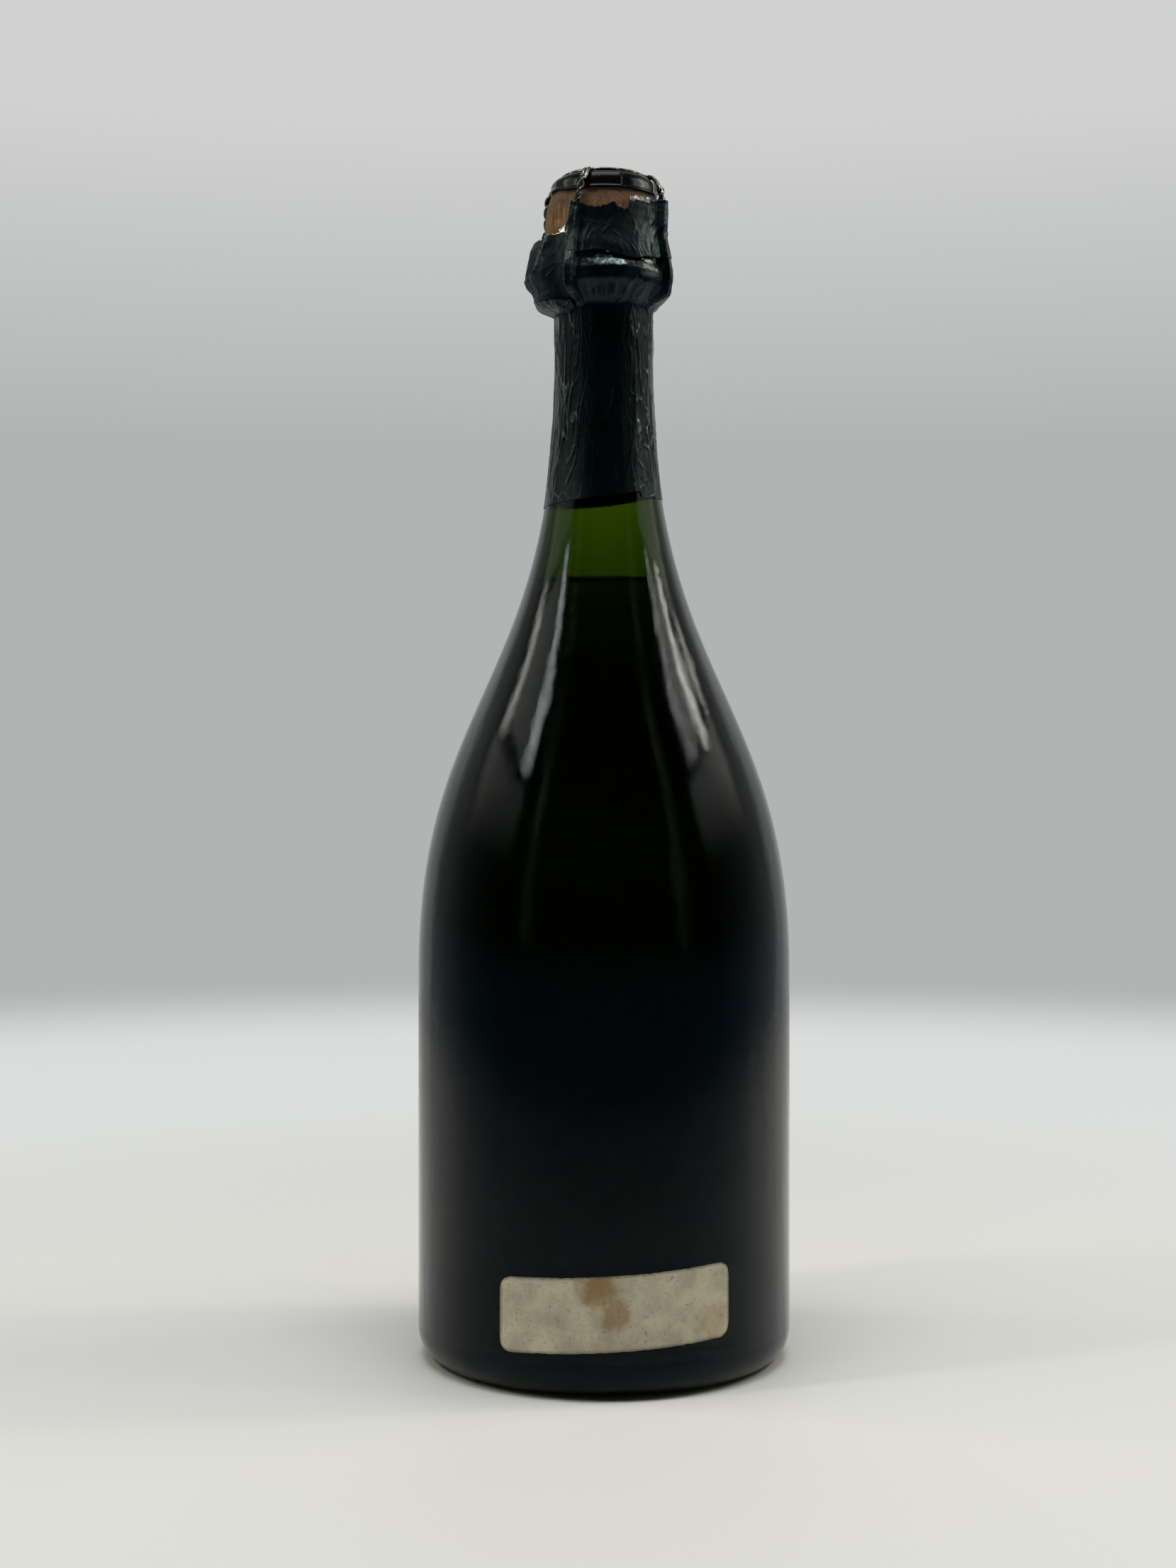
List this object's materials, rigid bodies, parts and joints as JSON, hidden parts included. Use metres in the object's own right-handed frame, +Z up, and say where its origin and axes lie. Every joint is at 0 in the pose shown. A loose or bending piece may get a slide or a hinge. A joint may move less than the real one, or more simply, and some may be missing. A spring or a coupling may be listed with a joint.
{
  "type": "corked champagne bottle",
  "caption": "Dark green sparkling-wine bottle with a long sloping shoulder, wired mushroom cork, torn neck foil and a bare strip label; the cork, wire hood and eye move.",
  "frame": {"origin": "on the table, at the bottle's axis", "axes": "+Z up along the bottle's axis, -Y towards the side with the strip label, +X to the right as that side is seen"},
  "size_m": [0.0954, 0.0965, 0.3021],
  "materials": {
    "dark_glass": "gloss",
    "wine": "gloss",
    "cork": "matte",
    "natural_cork": "matte",
    "lacquered_cap": "gloss",
    "steel_wire": "satin",
    "foil": "satin",
    "aged_paper": "matte",
    "label_paper": "matte"
  },
  "bodies": {
    "bottle": {"glass_bottle": "dark_glass", "wine": "wine", "foil_capsule": "foil", "strip_label": "aged_paper", "main_label": "label_paper"},
    "cork": {"cork_body": "cork", "cork_upper_disc": "natural_cork", "cork_lower_disc": "natural_cork"},
    "hood": {"metal_cap": "lacquered_cap", "hood_wire_1": "steel_wire", "hood_wire_2": "steel_wire", "hood_wire_3": "steel_wire", "hood_wire_4": "steel_wire", "belt_wire": "steel_wire"},
    "foil_hat": {"foil_hat": "foil"},
    "eye": {"eye_wire": "steel_wire", "foil_eye_flap": "foil"}
  },
  "joints": [
    {"name": "cork_pull", "type": "slide", "parent": "bottle", "child": "cork", "axis": [0, 0, 1], "range_m": [0, 0.06], "deforming": ["belt_wire"]},
    {"name": "hood_lift", "type": "slide", "parent": "cork", "child": "hood", "axis": [0, 0, 1], "range_m": [0, 0.045], "deforming": ["belt_wire"]},
    {"name": "hat_lift", "type": "slide", "parent": "hood", "child": "foil_hat", "axis": [0, 0, 1], "range_m": [0, 0.03]},
    {"name": "eye_fold", "type": "hinge", "parent": "hood", "child": "eye", "pos_m": [-0.01696, -0.0047, 0.2697], "axis": [0.2672, -0.9636, 0], "range_deg": [0, 95]}
  ]
}
